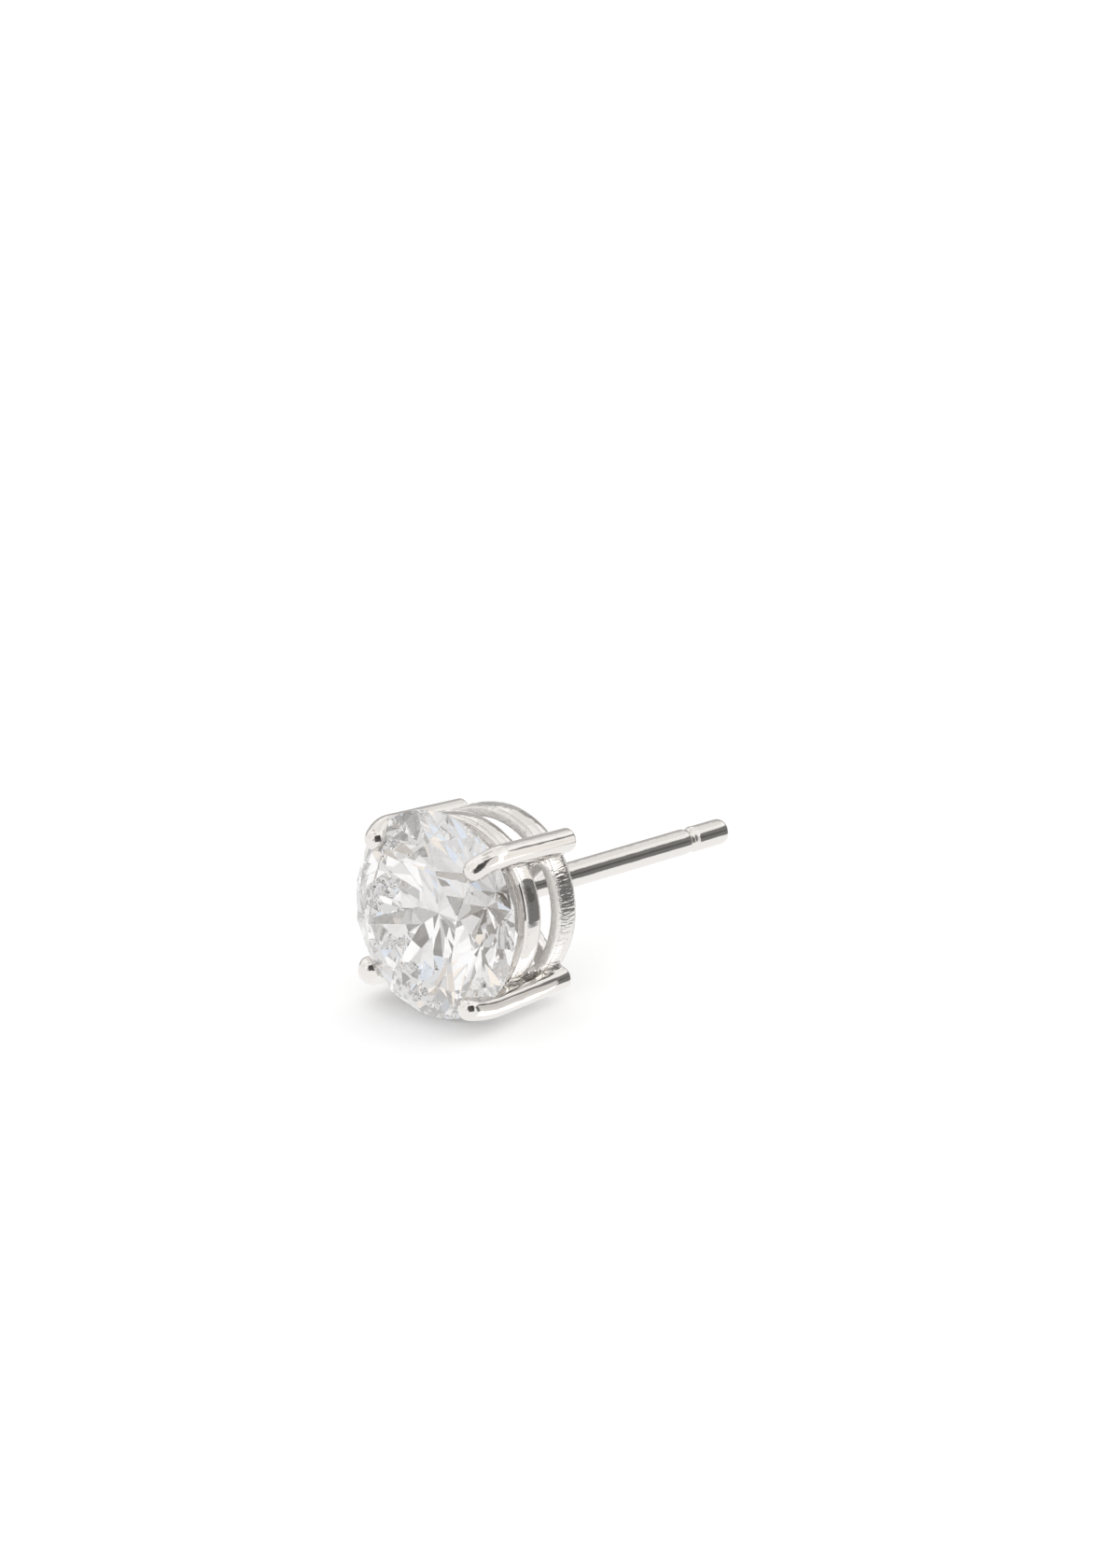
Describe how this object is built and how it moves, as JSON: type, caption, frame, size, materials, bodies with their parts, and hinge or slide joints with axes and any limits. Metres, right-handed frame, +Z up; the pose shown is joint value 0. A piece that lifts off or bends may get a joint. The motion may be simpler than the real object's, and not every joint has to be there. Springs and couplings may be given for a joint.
{
  "type": "stud earring",
  "caption": "Solitaire stud earring: a round brilliant-cut stone held by four claws in a basket with two gallery rails on a straight ear post.",
  "frame": {"origin": "on the surface that the stud lies on, under the middle of its box", "axes": "+Y towards the tip of the post, +Z up; the stone's table faces -Y and about 6 degrees up"},
  "size_m": [0.0064, 0.0148, 0.0065],
  "materials": {
    "white_gold": "mirror-polished white gold, slightly rippled from casting",
    "clear_stone": "polished, near colourless brilliant cut"
  },
  "bodies": {
    "root": {"basket_and_post": "white_gold", "brilliant_stone": "clear_stone"}
  },
  "joints": []
}
